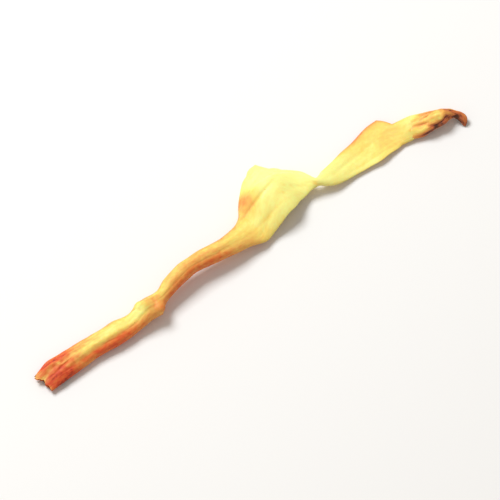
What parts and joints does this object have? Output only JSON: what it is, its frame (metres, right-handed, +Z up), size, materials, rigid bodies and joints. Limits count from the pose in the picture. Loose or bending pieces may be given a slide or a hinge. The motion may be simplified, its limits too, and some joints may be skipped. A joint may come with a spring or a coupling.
{
  "type": "dried enoki mushroom",
  "caption": "Long, shrivelled, flattened mushroom stem lying down, with a torn foot, a knuckle, a folded flap, a narrow waist and a small hooked cap at the far end.",
  "frame": {"origin": "under the middle of the mushroom's box, on the surface that it lies on", "axes": "+X along the mushroom, from the torn foot of the stem to the hooked cap; +Y to its left, the side of the folded flap; +Z up"},
  "size_m": [0.0844, 0.0152, 0.0041],
  "materials": {
    "stem": "matte",
    "cap": "matte"
  },
  "bodies": {
    "root": {"stem": "stem", "cap": "cap"}
  },
  "joints": []
}
